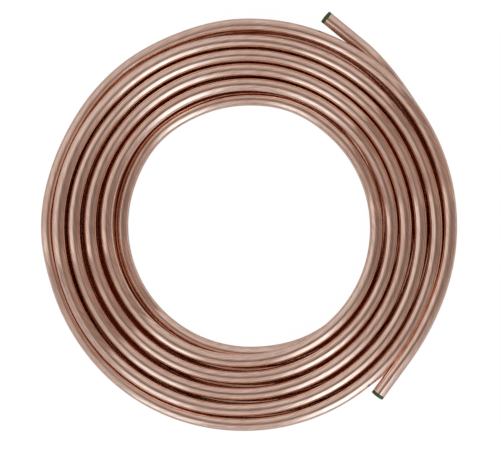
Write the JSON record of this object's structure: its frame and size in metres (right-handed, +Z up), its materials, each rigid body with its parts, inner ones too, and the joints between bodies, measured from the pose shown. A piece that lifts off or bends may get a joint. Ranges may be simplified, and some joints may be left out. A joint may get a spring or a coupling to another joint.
{
  "type": "copper tube coil",
  "caption": "Flat coil of soft copper tube wound in two layers, with both free ends at the outside and a green plastic plug in each.",
  "frame": {"origin": "on the coil's axis, at the level of the floor that the lower turns lie on", "axes": "+Z is up along the coil's axis, +Y is the top of the picture and +X its right"},
  "size_m": [0.5908, 0.5991, 0.0381],
  "materials": {
    "drawn_copper": "bright drawn copper",
    "green_plastic": "moulded"
  },
  "bodies": {
    "root": {"tube_coil": "drawn_copper", "end_plug_lower": "green_plastic", "end_plug_upper": "green_plastic"}
  },
  "joints": []
}
